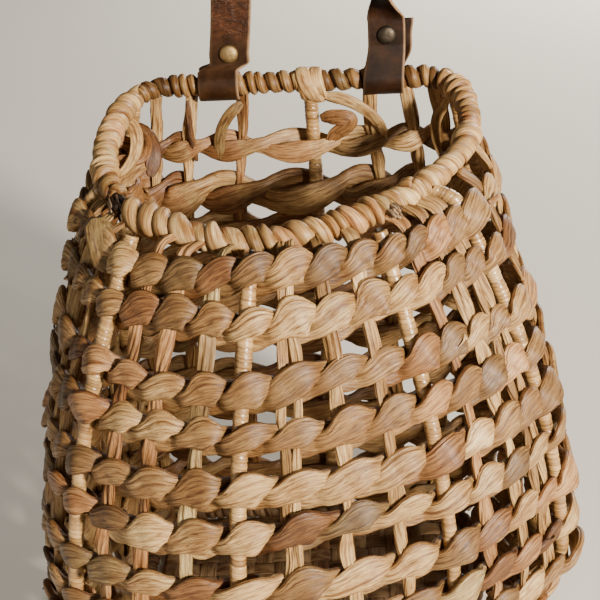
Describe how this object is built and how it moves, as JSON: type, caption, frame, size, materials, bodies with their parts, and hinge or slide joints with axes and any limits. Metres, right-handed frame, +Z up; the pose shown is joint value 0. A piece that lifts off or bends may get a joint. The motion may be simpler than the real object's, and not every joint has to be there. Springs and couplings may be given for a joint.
{
  "type": "hanging storage basket",
  "caption": "Woven plant-fibre wall basket with a flat back, a tilted wrapped rim, twined rows round wrapped ribs, and a riveted leather hanging strap.",
  "frame": {"origin": "centre of the bounding box in plan, on the floor under the base", "axes": "+Z up, front faces -Y, flat back faces +Y, +X to the right seen from the front"},
  "size_m": [0.3017, 0.2298, 0.496],
  "materials": {
    "steel_wire": "satin",
    "rim_wrap": "matte",
    "rib_wrap": "matte",
    "warp_fibre": "matte",
    "weft_fibre": "matte",
    "base_fibre": "matte",
    "reed": "matte",
    "strap_leather": "satin",
    "rivet_brass": "polished",
    "rivet_steel": "polished"
  },
  "bodies": {
    "basket": {"rim_wire": "steel_wire", "rim_wrap_back": "rim_wrap", "rim_wrap_left": "rim_wrap", "rim_wrap_front": "rim_wrap", "rim_wrap_right": "rim_wrap", "rim_knot": "rim_wrap", "rib_wire_back": "steel_wire", "rib_wire_back_left": "steel_wire", "rib_wire_left": "steel_wire", "rib_wire_front_left": "steel_wire", "rib_wire_front": "steel_wire", "rib_wire_front_right": "steel_wire", "rib_wire_right": "steel_wire", "rib_wire_back_right": "steel_wire", "rib_wrap_back": "rib_wrap", "rib_wrap_back_left": "rib_wrap", "rib_wrap_left": "rib_wrap", "rib_wrap_front_left": "rib_wrap", "rib_wrap_front": "rib_wrap", "rib_wrap_front_right": "rib_wrap", "rib_wrap_right": "rib_wrap", "rib_wrap_back_right": "rib_wrap", "warps_rear_left": "warp_fibre", "warps_side_left_rear": "warp_fibre", "warps_side_left_front": "warp_fibre", "warps_front_left": "warp_fibre", "warps_front_right": "warp_fibre", "warps_side_right_front": "warp_fibre", "warps_side_right_rear": "warp_fibre", "warps_rear_right": "warp_fibre", "weft_row_01": "weft_fibre", "weft_row_02": "weft_fibre", "weft_row_03": "weft_fibre", "weft_row_04": "weft_fibre", "weft_row_05": "weft_fibre", "weft_row_06": "weft_fibre", "weft_row_07": "weft_fibre", "weft_row_08": "weft_fibre", "weft_row_09": "weft_fibre", "weft_row_10": "weft_fibre", "weft_row_11": "weft_fibre", "base_ring_wire": "steel_wire", "base_ring_wrap": "base_fibre", "base_warps": "base_fibre", "base_wefts": "base_fibre", "reed_end_left": "reed", "reed_end_right": "reed"},
    "handle": {"strap": "strap_leather", "rivet_cap_left": "rivet_brass", "rivet_post_left": "rivet_steel", "rivet_washer_left": "rivet_steel", "rivet_cap_right": "rivet_steel", "rivet_post_right": "rivet_steel", "rivet_washer_right": "rivet_steel"}
  },
  "joints": [
    {"name": "handle_swing", "type": "hinge", "parent": "basket", "child": "handle", "pos_m": [-0.002, 0.105, 0.305], "axis": [1, 0, 0], "range_deg": [-120, 85]}
  ]
}
